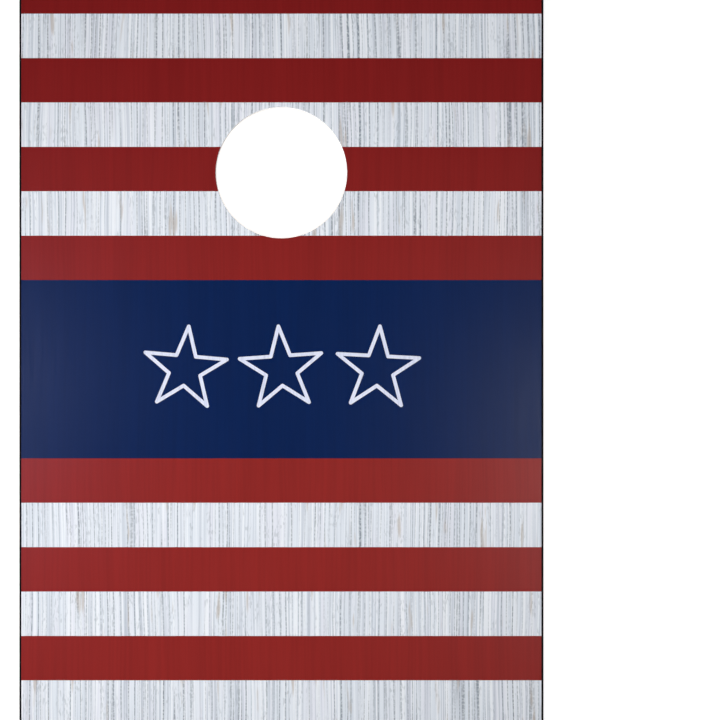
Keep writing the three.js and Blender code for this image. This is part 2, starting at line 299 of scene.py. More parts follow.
def ring_lines(g, colour, along, across, dots):
    """colour with single darker lines on it, where a slow noise crosses its middle value."""
    rings = g.streaks(along, across, 900 * MM, 6.0 * MM, seed=9.9, detail=1.0)
    line = g.contours(rings, 0.004, 0.038)
    weight = g.ramp(g.streaks(along, across, 260 * MM, 6 * MM, seed=6.3), 0.44, 0.64, 0.0, 0.90)
    return g.paint(colour, RING_LINE, line, weight, dots)


def whitewashed_print():
    """Printed weathered wood: pale wash, grey-blue grain lines, pores and tan streaks."""
    g = Graph("print_whitewashed", roughness=PRINT_ROUGHNESS)
    along, across = bent_grain(g)
    colour = brushed_wash(g, along, across)
    # The lines break into dots along their length.
    dots = g.streaks(along, across, 2.3 * MM, 2.6 * MM, seed=7.7, detail=0.0)
    dots = g.ramp(dots, 0.34, 0.60, 0.50, 1.0)
    colour = growth_lines(g, colour, along, across, dots)
    colour = ring_lines(g, colour, along, across, dots)
    # Pores: short dashes in patches.
    pores = g.ramp(g.streaks(along, across, 5.5 * MM, 1.4 * MM, seed=4.4, detail=0.0), 0.56, 0.70)
    patch = g.ramp(g.streaks(along, across, 50 * MM, 9 * MM, seed=7.9), 0.50, 0.62, 0.0, 0.40)
    colour = g.paint(colour, PORE, pores, patch)
    # Tan streaks where the wash is thin.
    bare = g.ramp(g.streaks(along, across, 75 * MM, 8 * MM, seed=10.3), 0.625, 0.74)
    g.colour(g.paint(colour, BARE_WOOD, bare, 0.60))
    print_gloss(g, along, across)
    return g.material


def solid_print(name, front, rear):
    """A printed colour that turns from its front value to its rear value along the board, with the wood's grain
    showing faintly through it.
    """
    g = Graph(name, roughness=PRINT_ROUGHNESS)
    along, across = bent_grain(g)
    turning = (DECK_MIDDLE - 100 * MM, DECK_MIDDLE + 450 * MM)  # where front starts and ends to turn
    colour = g.mix(g.ramp(along, *turning), front, rear)
    grain = g.streaks(along, across, 140 * MM, 2.6 * MM, seed=1.7, detail=3.0)
    broad = g.streaks(along, across, 240 * MM, 18 * MM, seed=4.9)
    worn = g.math("ADD", g.ramp(grain, 0.35, 0.68, 0.0, 0.08), g.ramp(broad, 0.35, 0.65, 0.0, 0.05))
    g.colour(g.mix(worn, colour, BLACK))
    print_gloss(g, along, across)
    return g.material


def printed_ink():
    """The brushed white of the stars, a little uneven like paint on wood."""
    g = Graph("print_star_white", roughness=PRINT_ROUGHNESS)
    along, across = bent_grain(g)
    worn = g.streaks(along, across, 30 * MM, 2.4 * MM, seed=2.2, detail=3.0)
    g.colour(g.mix(g.ramp(worn, 0.45, 0.75, 0.0, 0.6), STAR_WHITE, STAR_WORN))
    print_gloss(g, along, across)
    return g.material


# ---------------------------------------------------------------- other materials


def black_paint(name, rubbed):
    """Satin black paint over planed pine; rubbed is how far it has worn through."""
    g = Graph(name, roughness=0.42)
    along, across, through = g.grain_axes()
    side = g.math("ADD", across, through)
    grain = g.streaks(along, side, 160 * MM, 2.2 * MM, seed=0.7, detail=4.0)
    mottle = g.patches(along, side, 60.0, 60.0, seed=1.0, detail=3.0)
    colour = g.mix(g.ramp(grain, 0.35, 0.7), (0.0085, 0.0085, 0.0095), (0.016, 0.016, 0.018))
    if rubbed:
        spots = g.patches(along, side, 90.0, 400.0, seed=4.0, detail=4.0, roughness=0.7)
        bare = g.ramp(spots, 0.60 - 0.05 * rubbed, 0.68, 0.0, 0.75)
        colour = g.mix(bare, colour, (0.16, 0.10, 0.055))
    g.colour(colour)
    g.roughness(g.ramp(mottle, 0.3, 0.7, 0.36, 0.50))
    peel = g.patches(along, side, 420.0, 420.0, seed=2.0, detail=1.0)
    height = g.math("ADD", g.math("MULTIPLY", grain, 0.7), g.math("MULTIPLY", peel, 0.3))
    g.bump(height, 0.5 * MM, 0.35)
    return g.material


def fibreboard():
    """Raw medium-density fibreboard: tan-brown, with short fibres pressed flat every way."""
    g = Graph("fibreboard_raw", roughness=0.8, specular=0.25)
    fibres = g.speckle(1 / (2.4 * MM), detail=5.0, roughness=0.75)
    broad = g.speckle(1 / (60 * MM), detail=3.0)
    colour = g.mix(g.ramp(broad, 0.30, 0.70), (0.315, 0.185, 0.092), (0.355, 0.215, 0.110))
    colour = g.mix(g.ramp(fibres, 0.52, 0.75, 0.0, 0.7), colour, (0.20, 0.11, 0.05))
    colour = g.mix(g.ramp(fibres, 0.44, 0.28, 0.0, 0.55), colour, (0.48, 0.32, 0.18))
    g.colour(colour)
    g.bump(fibres, 0.2 * MM, 0.5)
    return g.material


def painted_edge(name, colour, fibre_colour):
    """Paint soaked into the fibreboard's edge: flat and a little fuzzy."""
    g = Graph(name, roughness=0.8, specular=0.15)
    fibres = g.speckle(1 / (1.6 * MM), detail=4.0, roughness=0.7)
    g.colour(g.mix(g.ramp(fibres, 0.4, 0.7), colour, fibre_colour))
    g.bump(fibres, 0.15 * MM, 0.4)
    return g.material


def bare_pine():
    """Planed pine: honey sapwood with darker latewood lines."""
    g = Graph("bare_pine", roughness=0.6, specular=0.3)
    along, across, through = g.grain_axes()
    side = g.math("MULTIPLY_ADD", through, 0.35, across)
    rings = g.streaks(along, side, 500 * MM, 9 * MM, seed=3.3, detail=1.0)
    fine = g.streaks(along, side, 90 * MM, 1.4 * MM, seed=1.9, detail=4.0)
    latewood = g.contours(rings, 0.0, 0.09)
    colour = g.paint((0.62, 0.41, 0.20), (0.40, 0.21, 0.08), latewood, 0.8)
    colour = g.mix(g.ramp(fine, 0.45, 0.75, 0.0, 0.5), colour, (0.45, 0.27, 0.12))
    g.colour(colour)
    g.bump(fine, 0.25 * MM, 0.4)
    return g.material


def zinc_plate():
    """Zinc plating: cool and warm clouds over a fine grained metal."""
    g = Graph("zinc_plate", roughness=0.3, metallic=1.0)
    cloud = g.speckle(260.0, detail=3.0)
    g.colour(g.mix(g.ramp(cloud, 0.35, 0.65), (0.56, 0.58, 0.62), (0.66, 0.65, 0.60)))
    g.roughness(g.ramp(cloud, 0.3, 0.7, 0.24, 0.40))
    g.bump(g.speckle(1500.0, detail=2.0), 0.05 * MM, 0.25)
    return g.material


def black_phosphate():
    """The dull black coating of the screws."""
    g = Graph("black_phosphate", roughness=0.42, metallic=0.85)
    cloud = g.speckle(700.0, detail=3.0)
    g.colour(g.mix(g.ramp(cloud, 0.35, 0.65), (0.035, 0.035, 0.038), (0.075, 0.073, 0.072)))
    g.roughness(g.ramp(cloud, 0.3, 0.7, 0.35, 0.52))
    return g.material


def moulded_nylon():
    """Black nylon with a faint moulded texture."""
    g = Graph("moulded_nylon", roughness=0.5)
    cloud = g.speckle(900.0, detail=2.0)
    g.colour(g.mix(g.ramp(cloud, 0.35, 0.65), (0.020, 0.020, 0.021), (0.032, 0.032, 0.034)))
    g.bump(cloud, 0.05 * MM, 0.3)
    return g.material


PAINT = [black_paint("black_paint", 0), black_paint("black_paint_edge", 1)]
PINE = [bare_pine()]
ZINC = [zinc_plate()]
PHOSPHATE = [black_phosphate()]
NYLON = [moulded_nylon()]
BLACK_EDGE = painted_edge("fibreboard_black_edge", (0.004, 0.004, 0.005), (0.011, 0.010, 0.010))
WHITE_EDGE = painted_edge("fibreboard_white_edge", (0.80, 0.82, 0.84), (0.62, 0.62, 0.61))
PRINT = [
    whitewashed_print(),
    solid_print("print_red", *RED),
    solid_print("print_navy", *NAVY),
    printed_ink(),
    BLACK_EDGE,
    WHITE_EDGE,
]
WHITE_FACE, RED_FACE, NAVY_FACE, STAR_FACE, SIDE_FACE, HOLE_SIDE_FACE = range(6)
DECK = [fibreboard(), BLACK_EDGE, WHITE_EDGE]
RAW_FACE, EDGE_FACE, HOLE_EDGE_FACE = range(3)
FLAT_FACE, ROUNDED_FACE = range(2)  # the slots of PAINT, and of PINE given twice


# ---------------------------------------------------------------- mesh helpers


def piece(name, mesh, materials, body, slot, replaced, along=(0, 1, 0)):
    """Places a mesh built in the board's frame, with its grain running the way that along points."""
    grain_x = Vector(along).normalized()
    grain_y = grain_x.cross(Vector((0, 0, 1)) if abs(grain_x.z) < 0.9 else Vector((1, 0, 0)))
    axes = Matrix((grain_x, grain_y, grain_x.cross(grain_y)))
    layer = mesh.attributes.new("grain", "FLOAT_VECTOR", "POINT")
    for vertex, value in zip(mesh.vertices, layer.data):
        value.vector = axes @ vertex.co
    for material in materials:
        mesh.materials.append(material)
    mesh.transform(BOARD)
    made = bpy.data.objects.new(name, mesh)
    bpy.context.scene.collection.objects.link(made)
    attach(made, body)
    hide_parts(replaced)
    return made


def as_mesh(name, bm, sharp_angle=SHARP_ANGLE):
    """The mesh of a bmesh: smooth, with its edges of more than sharp_angle degrees kept sharp."""
    bmesh.ops.remove_doubles(bm, verts=bm.verts, dist=WELD)
    bmesh.ops.recalc_face_normals(bm, faces=bm.faces)
    for face in bm.faces:
        face.smooth = True
    mesh = bpy.data.meshes.new(name)
    bm.to_mesh(mesh)
    bm.free()
    mesh.set_sharp_from_angle(angle=math.radians(sharp_angle))
    return mesh


def flatten_large(mesh, largest_smooth=30):
    """Faces of more than largest_smooth square mm shade flat, so no rounding bleeds into them."""
    for polygon in mesh.polygons:
        if polygon.area > largest_smooth * MM * MM:
            polygon.use_smooth = False


def combined(mesh, solids, operation):
    """mesh with each bmesh of solids joined to it (UNION) or taken out of it (DIFFERENCE)."""
    body = bpy.data.objects.new("body", mesh)
    bpy.context.scene.collection.objects.link(body)
    tools = []
    for solid in solids:
        tool = bpy.data.objects.new("tool", as_mesh("tool", solid))
        bpy.context.scene.collection.objects.link(tool)
        modifier = body.modifiers.new(operation.lower(), "BOOLEAN")
        modifier.operation = operation
        modifier.solver = "EXACT"
        modifier.object = tool
        tools.append(tool)
    depsgraph = bpy.context.evaluated_depsgraph_get()
    result = bpy.data.meshes.new_from_object(body.evaluated_get(depsgraph), depsgraph=depsgraph)
    for made in [body, *tools]:
        bpy.data.objects.remove(made)
    result.set_sharp_from_angle(angle=math.radians(SHARP_ANGLE))
    return result


def extruded(outline, push):
    """A solid swept from a flat outline of 3-D points by the vector push."""
    bm = bmesh.new()
    base = bm.faces.new([bm.verts.new(point) for point in outline])
    grown = bmesh.ops.extrude_face_region(bm, geom=[base])
    moved = [item for item in grown["geom"] if isinstance(item, bmesh.types.BMVert)]
    bmesh.ops.translate(bm, verts=moved, vec=push)
    bmesh.ops.recalc_face_normals(bm, faces=bm.faces)
    return bm


def round_edges(bm, offset, sharper_than=0, segments=3, material=FLAT_FACE):
    """Rounds every edge where two faces meet at more than sharper_than degrees."""
    edges = [edge for edge in bm.edges if edge.calc_face_angle(0) > math.radians(sharper_than)]
    bmesh.ops.bevel(
        bm, geom=edges, offset=offset, segments=segments, profile=0.5, affect="EDGES", material=material
    )


def turned(profile, facets, axis_point, sign):
    """A solid of revolution about X. Its profile lists (radius, distance), with distance measured
    from axis_point outwards, through the side that sign gives."""
    bm = bmesh.new()
    rings = []
    for radius, distance in profile:
        x = axis_point[0] + sign * distance
        if radius == 0:
            rings.append([bm.verts.new((x, axis_point[1], axis_point[2]))])
            continue
        ring = []
        for i in range(facets):
            angle = 2 * math.pi * i / facets
            y = axis_point[1] + radius * math.cos(angle)
            z = axis_point[2] + radius * math.sin(angle)
            ring.append(bm.verts.new((x, y, z)))
        rings.append(ring)
    for low, high in zip(rings, rings[1:]):
        for i in range(facets):
            j = (i + 1) % facets
            corners = [low[i % len(low)], low[j % len(low)], high[j % len(high)], high[i % len(high)]]
            unique = list(dict.fromkeys(corners))
            if len(unique) > 2:
                bm.faces.new(unique)
    return bm


# ---------------------------------------------------------------- sheets with the bag hole


def rounded_outline(half_width, low_y, high_y, corner, steps=6):
    """Corners of a rectangle with round corners, going round anticlockwise."""
    points = []
    turns = ((1, low_y, -90), (1, high_y, 0), (-1, high_y, 90), (-1, low_y, 180))
    for side, y, start in turns:
        centre_x = side * (half_width - corner)
        centre_y = y + corner if y == low_y else y - corner
        for i in range(steps + 1):
            angle = math.radians(start + 90 * i / steps)
            points.append((centre_x + corner * math.cos(angle), centre_y + corner * math.sin(angle)))
    return points


def hole_outline(radius):
    """A circle about the bag hole's centre."""
    angles = [2 * math.pi * i / HOLE_FACETS for i in range(HOLE_FACETS)]
    return [(radius * math.cos(angle), HOLE_Y + radius * math.sin(angle)) for angle in angles]


def inside(point, loop):
    """Whether a point lies within a closed loop of points."""
    x, y = point
    hit = False
    for (x0, y0), (x1, y1) in zip(loop, loop[1:] + loop[:1]):
        if (y0 > y) != (y1 > y) and x < (x1 - x0) * (y - y0) / (y1 - y0) + x0:
            hit = not hit
    return hit


def triangulated(loops, lines, left, right):
    """Points and triangles of a flat region, with edges along each closed loop and along a line
    from left to right at each height in lines. Worked out in millimetres, for its tolerance."""
    points, edges = [], []
    for loop in loops:
        start = len(points)
        points += loop
        edges += [(start + i, start + (i + 1) % len(loop)) for i in range(len(loop))]
    for y in lines:
        edges.append((len(points), len(points) + 1))
        points += [(left, y), (right, y)]
    flat = [Vector(point) / MM for point in points]
    found, _, triangles, *_ = delaunay_2d_cdt(flat, edges, [], 0, 1e-6)
    return [(point.x * MM, point.y * MM) for point in found], triangles


def add_top(bm, spots, triangles, z, outline, rim, face_material):
    """Adds a sheet's top: the triangles inside its outline and outside its hole."""
    cap = {}
    for triangle in triangles:
        x = sum(spots[i][0] for i in triangle) / 3
        y = sum(spots[i][1] for i in triangle) / 3
        if not inside((x, y), outline) or inside((x, y), rim):
            continue
        for i in triangle:
            if i not in cap:
                cap[i] = bm.verts.new((*spots[i], z))
        face = bm.faces.new([cap[i] for i in triangle])
        face.material_index = face_material(x, y)
    bmesh.ops.recalc_face_normals(bm, faces=bm.faces)


def on_rim(point, rim_radius):
    """Whether a point of the top's border lies on the hole's rim."""
    return (point - Vector((0, HOLE_Y))).length < rim_radius + TOUCH


def way_out(point, rim_radius, low, high, margin):
    """The way out of a sheet from a point of its border: into the hole, or away from the box that
    is margin within the sheet, which holds the centres of its round corners."""
    if on_rim(point, rim_radius):
        return (Vector((0, HOLE_Y)) - point).normalized()
    core = Vector((
        max(low.x + margin, min(high.x - margin, point.x)),
        max(low.y + margin, min(high.y - margin, point.y)),
    ))
    return (point - core).normalized()


def add_walls(bm, profile, rim_radius, low, high, corner, wall, hole_wall):
    """Adds walls down from the top's border, along the profile, and gives their lowest ring as a
    map from the border's vertices."""
    inset = profile[0][0]
    border = [edge for edge in bm.edges if len(edge.link_faces) == 1]
    around = list(dict.fromkeys(vertex for edge in border for vertex in edge.verts))
    layers = [{vertex: vertex for vertex in around}]
    for step_inset, z in profile[1:]:
        ring = {}
        for vertex in around:
            out = way_out(vertex.co.xy, rim_radius, low, high, inset + corner)
            x, y = vertex.co.xy + out * (inset - step_inset)
            ring[vertex] = bm.verts.new((x, y, z))
        layers.append(ring)
    for upper, lower in zip(layers, layers[1:]):
        for edge in border:
            a, b = edge.verts
            face = bm.faces.new((upper[a], upper[b], lower[b], lower[a]))
            face.material_index = hole_wall if on_rim((a.co.xy + b.co.xy) / 2, rim_radius) else wall
    return layers[-1]


def add_base(bm, top_faces, lowest, z, base):
    """Adds a sheet's underside: its top's faces again, at the height z and turned over."""
    bottom = dict(lowest)
    for face in top_faces:
        for vertex in face.verts:
            if vertex not in bottom:
                bottom[vertex] = bm.verts.new((*vertex.co.xy, z))
        copy = bm.faces.new([bottom[vertex] for vertex in reversed(face.verts)])
        copy.material_index = base


def sheet(low, high, corner, profile, face_material, wall, hole_wall, base, lines=(), loops=()):
    """A flat sheet with the bag hole, its edges following profile: (inset, height) from the top down.

    face_material gives each top face its material slot, and wall, hole_wall and base are the slots
    of the outer edge, the hole's edge and the underside. lines are heights up the slope where the
    top splits into bands, and loops are closed outlines drawn on it."""
    inset, top = profile[0]
    outline = rounded_outline(high.x - inset, low.y + inset, high.y - inset, corner)
    rim_radius = HOLE_RADIUS + inset
    rim = hole_outline(rim_radius)
    spots, triangles = triangulated([outline, rim, *loops], lines, low.x + inset, high.x - inset)
    bm = bmesh.new()
    add_top(bm, spots, triangles, top, outline, rim, face_material)
    top_faces = list(bm.faces)
    lowest = add_walls(bm, profile, rim_radius, low, high, corner, wall, hole_wall)
    add_base(bm, top_faces, lowest, profile[-1][1], base)
    return bm


# ---------------------------------------------------------------- print and deck


def star_path(x, y, radius, turn):
    """The ten corners of a five-pointed star."""
    inner = radius * math.cos(math.radians(72)) / math.cos(math.radians(36))
    corners = []
    for i in range(10):
        angle = math.radians(90 + turn + 36 * i)
        reach = radius if i % 2 == 0 else inner
        corners.append(Vector((x + reach * math.cos(angle), y + reach * math.sin(angle))))
    return corners


def star_strokes():
    """The pen strokes of the row of stars, each a start and an end."""
    strokes = []
    for i, turn in enumerate(STAR_TURNS):
        x = (i - (len(STAR_TURNS) - 1) / 2) * STAR_PITCH
        corners = star_path(x, DECK_MIDDLE, STAR_RADIUS, turn)
        strokes += zip(corners, corners[1:] + corners[:1])
    return strokes


def stroke_loop(start, end, width, steps=8):
    """The outline of one pen stroke with round ends."""
    heading = math.atan2(end.y - start.y, end.x - start.x)
    loop = []
    for centre, begin in ((end, heading - math.pi / 2), (start, heading + math.pi / 2)):
        for i in range(steps + 1):
            angle = begin + math.pi * i / steps
            loop.append((centre.x + width / 2 * math.cos(angle), centre.y + width / 2 * math.sin(angle)))
    return loop


def distance_to(point, start, end):
    """Distance from a point to the stroke between two others."""
    run = end - start
    share = max(0.0, min(1.0, (point - start).dot(run) / run.length_squared))
    return (point - start - share * run).length


def band_lines():
    """Heights up the slope where one printed band ends and the next begins."""
    lines = []
    reach = NAVY_HALF
    while DECK_MIDDLE + reach < PRINT_HIGH.y:
        lines += [DECK_MIDDLE - reach, DECK_MIDDLE + reach]
        reach += STRIPE
    return lines


def make_print():
    """The printed sheet: bands across the board and a row of outlined stars on the navy."""
    strokes = star_strokes()

    def face_material(x, y):
        out = abs(y - DECK_MIDDLE) - NAVY_HALF
        if out >= 0:
            return RED_FACE if int(out / STRIPE) % 2 == 0 else WHITE_FACE
        point = Vector((x, y))
        drawn = any(distance_to(point, start, end) < STAR_STROKE / 2 for start, end in strokes)
        return STAR_FACE if drawn else NAVY_FACE

    e = PRINT_EASE
    profile = [(e, 0), (e * 0.3, -e * 0.3), (0, -e), (0, DECK_HIGH.z)]
    slots = (face_material, SIDE_FACE, HOLE_SIDE_FACE, SIDE_FACE)
    loops = [stroke_loop(start, end, STAR_STROKE) for start, end in strokes]
    bm = sheet(PRINT_LOW, PRINT_HIGH, PRINT_CORNER, profile, *slots, band_lines(), loops)
    mesh = as_mesh("print_sheet", bm)
    flatten_large(mesh, largest_smooth=0)
    piece("print_sheet", mesh, PRINT, "frame", "printed_sheet", "printed_face")


def make_deck():
    """The fibreboard panel: black round its edges, white through the hole and raw underneath."""
    top, bottom = DECK_HIGH.z, DECK_LOW.z
    e = DECK_EASE
    near, mid = e * 0.13, e * 0.5  # steps of the rounding, from its two tangents
    upper = [(e, top), (mid, top - near), (near, top - mid), (0, top - e)]
    lower = [(0, bottom + e), (near, bottom + mid), (mid, bottom + near), (e, bottom)]
    slots = (lambda x, y: EDGE_FACE, EDGE_FACE, HOLE_EDGE_FACE, RAW_FACE)
    mesh = as_mesh("deck_board", sheet(DECK_LOW, DECK_HIGH, DECK_CORNER, upper + lower, *slots))
    flatten_large(mesh, largest_smooth=40)
    piece("deck_board", mesh, DECK, "frame", "fibreboard", "deck_panel")


# ---------------------------------------------------------------- frame and legs


def eased_box(low, high):
    """A plank with rounded edges."""
    bm = bmesh.new()
    bmesh.ops.create_cube(bm, size=1)
    for vertex in bm.verts:
        vertex.co = Vector(high[axis] if vertex.co[axis] > 0 else low[axis] for axis in range(3))
    round_edges(bm, EASE, material=ROUNDED_FACE)
    return bm


def pocket(x, y, z, radius, depth, sign, facets=32):
    """A round cutter from outside the face at x to depth inside it."""
    above = 5 * MM
    profile = [(0, -depth), (radius, -depth), (radius, above), (0, above)]
    return turned(profile, facets, (x, y, z), sign)


def screw_names(side, *places):
    """The screws of one side in some places, an upper and a lower one in each."""
    return [f"{side}_{place}_screw_{level}" for place in places for level in ("upper", "lower")]


def screw_pockets(names, face_x, sign):
    """A counterbore cutter for each screw."""
    depth, clearance = 1.5 * MM, 0.25 * MM
    cutters = []
    for name in names:
        low, high = board_box(name)
        radius = (high.y - low.y) / 2 + clearance
        cutters.append(pocket(face_x, (low.y + high.y) / 2, (low.z + high.z) / 2, radius, depth, sign))
    return cutters


def make_planks():
    """Front and rear rails, brace and spreader: straight planks."""
    for node, body, slot, materials in (
        ("front_rail", "frame", "black_paint", PAINT),
        ("rear_rail", "frame", "black_paint", PAINT),
        ("cross_brace", "frame", "bare_pine", PINE * 2),
        ("leg_spreader", "legs", "black_paint", PAINT),
    ):
        mesh = as_mesh(node, eased_box(*board_box(node)))
        flatten_large(mesh)
        piece(f"{node}_board", mesh, materials, body, slot, node, along=(1, 0, 0))


def make_side_rails():
    """Side rails, counterbored for their screws and for the pivot bolt's head."""
    head_clearance, head_depth = 1 * MM, 5.3 * MM
    for side, sign in SIDES.items():
        node = f"{side}_side_rail"
        low, high = board_box(node)
        face_x = high.x if sign > 0 else low.x
        cutters = screw_pockets(screw_names(side, "front_rail", "brace", "rear_rail"), face_x, sign)
        head_low, head_high = board_box(f"{side}_pivot_bolt")
        head_radius = (head_high.z - head_low.z) / 2 + head_clearance
        cutters.append(pocket(face_x, PIVOT.y, PIVOT.z, head_radius, head_depth, sign, facets=48))
        mesh = combined(as_mesh(node, eased_box(low, high)), cutters, "DIFFERENCE")
        flatten_large(mesh)
        piece(f"{node}_board", mesh, PAINT, "frame", "black_paint", node)


def make_legs():
    """Folding legs: round tops about the pivot, feet cut to the ground and holes for the bolts."""
    bore, clearance, arc_steps = 4.3 * MM, 5 * MM, 32
    for side, sign in SIDES.items():
        node = f"{side}_leg"
        low, high = board_box(node)
        half = (high.y - low.y) / 2
        thickness = high.x - low.x
        outline = [(low.x, low.y, ground_z(low.y)), (low.x, high.y, ground_z(high.y))]
        for i in range(arc_steps + 1):
            angle = math.pi * i / arc_steps
            outline.append((low.x, PIVOT.y + half * math.cos(angle), PIVOT.z + half * math.sin(angle)))
        bm = extruded(outline, (thickness, 0, 0))
        round_edges(bm, EASE, sharper_than=40, material=ROUNDED_FACE)
        face_x = high.x if sign > 0 else low.x
        cutters = screw_pockets(screw_names(side, "spreader"), face_x, sign)
        cutters.append(pocket(face_x, PIVOT.y, PIVOT.z, bore, thickness + clearance, sign))
        mesh = combined(as_mesh(node, bm), cutters, "DIFFERENCE")
        flatten_large(mesh, largest_smooth=150)
        piece(f"{node}_board", mesh, PAINT, "legs", "black_paint", node, along=(0, 0, 1))


def make_corner_blocks():
    """Triangular blocks glued into the front corners."""
    for side, sign in SIDES.items():
        node = f"front_{side}_corner_block"
        low, high = board_box(node)
        corner, other = (high.x, low.x) if sign > 0 else (low.x, high.x)
        outline = [(corner, low.y, low.z), (corner, high.y, low.z), (other, low.y, low.z)]
        bm = extruded(outline, (0, 0, high.z - low.z))
        round_edges(bm, 0.8 * MM, segments=2)
        mesh = as_mesh(node, bm)
        flatten_large(mesh)
        piece(f"{node}_glued", mesh, PINE, "frame", "bare_pine", node, along=(0, 0, 1))


# ---------------------------------------------------------------- screws


def thread(start, end, pitch, root, crest, crest_at):
    """A thread's profile from start until past end, and where its next turn would begin. Each turn
    climbs from root to crest over the share crest_at of its pitch."""
    profile = []
    while start < end:
        profile += [(root, start), (crest, start + pitch * crest_at)]
        start += pitch
    return profile, start


def screw_profile(head, length):
    """A countersunk wood screw's profile, from its point to its head, where distance is 0."""
    shank = head / 2
    root = shank * 0.72
    taper = 6 * MM
    turns, thread_end = thread(-length + taper + 1 * MM, -length * 0.42, 1.8 * MM, root, shank, 0.45)
    return [
        (0, -length),
        (shank * 0.9, -length + taper),
        *turns,
        (root, thread_end),
        (root, -3.4 * MM),
        (head * 0.96, -0.55 * MM),
        (head, -0.3 * MM),
        (head * 0.96, -0.05 * MM),
        (head * 0.85, 0),
        (0, 0),
    ]


def cross_recess(centre, head, sign, turn):
    """Two crossed cutters for a driver's recess, tapering inwards; turn is in degrees."""
    arm, half_width = head * 0.58, 0.5 * MM
    arm_taper, width_taper = 0.45, 0.6
    depth, above = 2.2 * MM, 0.5 * MM
    cutters = []
    for across in (0, 90):
        cutter = bmesh.new()
        bmesh.ops.create_cube(cutter, size=1)
        for vertex in cutter.verts:
            deep = vertex.co.x * sign < 0
            reach = arm * (arm_taper if deep else 1.0)
            width = half_width * (width_taper if deep else 1.0)
            x = -sign * depth if deep else sign * above
            vertex.co = (x, math.copysign(reach, vertex.co.y), math.copysign(width, vertex.co.z))
        spin = Matrix.Translation(centre) @ Matrix.Rotation(math.radians(turn + across), 4, "X")
        bmesh.ops.transform(cutter, matrix=spin, verts=cutter.verts)
        cutters.append(cutter)
    return cutters


def make_screws():
    """Countersunk wood screws, each driven to an angle of its own."""
    first_turn, turn_step = 23, 71  # degrees
    places = {
        "frame": [name for side in SIDES for name in screw_names(side, "front_rail", "brace", "rear_rail")],
        "legs": [name for side in SIDES for name in screw_names(side, "spreader")],
    }
    for body, names in places.items():
        for index, name in enumerate(names):
            sign = SIDES[name.split("_")[0]]
            low, high = board_box(name)
            head = (high.y - low.y) / 2
            centre = (high.x if sign > 0 else low.x, (low.y + high.y) / 2, (low.z + high.z) / 2)
            bm = turned(screw_profile(head, high.x - low.x), 28, centre, sign)
            recess = cross_recess(centre, head, sign, first_turn + turn_step * index)
            mesh = combined(as_mesh(name, bm), recess, "DIFFERENCE")
            piece(f"{name}_detail", mesh, PHOSPHATE, body, "black_screws", name, along=(1, 0, 0))


# ---------------------------------------------------------------- pivots

BOLT_RADIUS = 4 * MM


def bolt_profile(length, head_radius):
    """A carriage bolt's profile, from its threaded end to the top of its domed head, at 0."""
    dome, rim, chamfer = 4.4 * MM, 0.8 * MM, 0.9 * MM
    neck = BOLT_RADIUS - 0.1 * MM
    root = BOLT_RADIUS - 0.62 * MM
    thread_start, thread_length = 1.1 * MM, 26 * MM
    turns, thread_end = thread(
        -length + thread_start, -length + thread_length, 1.25 * MM, root, BOLT_RADIUS, 0.5
    )
    profile = [
        (0, -length),
        (BOLT_RADIUS - chamfer, -length),
        (neck, -length + chamfer),
        *turns,
        (neck, thread_end),
        (BOLT_RADIUS, -dome),
        (head_radius - 0.3 * MM, -dome),
        (head_radius, -dome + rim / 2),
        (head_radius, -dome + rim),
    ]
    dome_steps = 12
    for i in range(1, dome_steps):
        angle = math.pi / 2 * i / dome_steps
        profile.append((head_radius * math.cos(angle), -dome + rim + (dome - rim) * math.sin(angle)))
    return [*profile, (0, 0)]


def ring_profile(radius, half, bore):
    """A washer's or spacer's closed profile, with eased rims."""
    ease = 0.35 * MM
    return [
        (bore, -half + ease * 0.4),
        (bore + ease * 0.4, -half),
        (radius - ease, -half),
        (radius - ease * 0.3, -half + ease * 0.3),
        (radius, -half + ease),
        (radius, half - ease),
        (radius - ease * 0.3, half - ease * 0.3),
        (radius - ease, half),
        (bore + ease * 0.4, half),
        (bore, half - ease * 0.4),
        (bore, -half + ease * 0.4),
    ]


def make_pivot_bolt(side, sign):
    """A carriage bolt with a domed head and a threaded end."""
    node = f"{side}_pivot_bolt"
    low, high = board_box(node)
    outer = high.x if sign > 0 else low.x
    profile = bolt_profile(high.x - low.x, (high.z - low.z) / 2)
    bm = turned(profile, 48, (outer, PIVOT.y, PIVOT.z), sign)
    mesh = as_mesh(node, bm, sharp_angle=28)
    piece(f"{side}_carriage_bolt", mesh, ZINC, "frame", "zinc_plate", node, along=(1, 0, 0))


def make_pivot_rings(side, sign):
    """The nylon spacer and the washer on one pivot bolt."""
    bore = BOLT_RADIUS + 0.3 * MM
    for node, name, materials, slot in (
        (f"{side}_leg_spacer", f"{side}_nylon_spacer", NYLON, "nylon"),
        (f"{side}_pivot_washer", f"{side}_plain_washer", ZINC, "zinc_plate"),
    ):
        low, high = board_box(node)
        profile = ring_profile((high.z - low.z) / 2, (high.x - low.x) / 2, bore)
        bm = turned(profile, 48, ((low.x + high.x) / 2, PIVOT.y, PIVOT.z), sign)
        piece(name, as_mesh(node, bm), materials, "frame", slot, node, along=(1, 0, 0))


def make_pivots():
    """The bolt that each leg turns on, with its spacer and washer."""
    for side, sign in SIDES.items():
        make_pivot_bolt(side, sign)
        make_pivot_rings(side, sign)


# ---------------------------------------------------------------- wing nuts

NUT_BORE = 4.05 * MM
NUT_HUB = 8 * MM  # the hub's height


